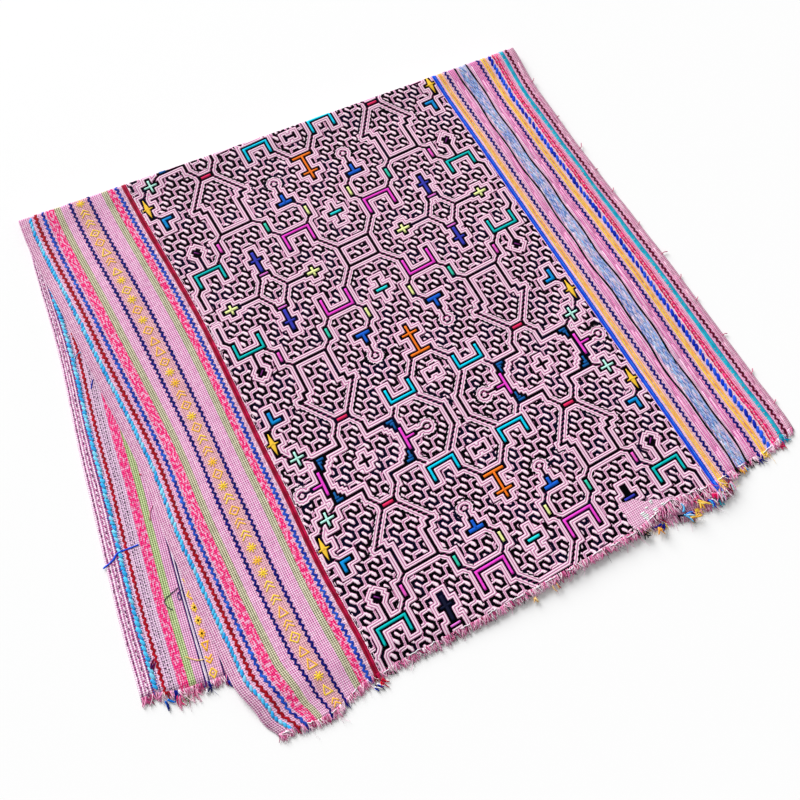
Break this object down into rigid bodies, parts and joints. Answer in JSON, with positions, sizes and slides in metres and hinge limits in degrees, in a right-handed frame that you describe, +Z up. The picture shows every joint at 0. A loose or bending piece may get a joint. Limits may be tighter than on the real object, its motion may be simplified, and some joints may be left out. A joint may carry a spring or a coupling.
{
  "type": "folded embroidered textile",
  "caption": "Striped cotton cloth with an embroidered maze pattern down its middle and frayed ends, folded once and laid flat.",
  "frame": {"origin": "middle of the footprint, on the surface it lies on", "axes": "+X across the cloth along its weft, +Y along the warp from the raw front end to the fold, +Z up from the surface"},
  "size_m": [0.7968, 0.743, 0.0085],
  "materials": {
    "woven_cotton": "pink plain-weave cotton with woven stripes and dense stitching, matt",
    "frayed_yarn": "loose pink cotton yarn ends, matt"
  },
  "bodies": {
    "root": {"folded_cloth": "woven_cotton", "fringe_upper": "frayed_yarn", "fringe_lower": "frayed_yarn"}
  },
  "joints": []
}
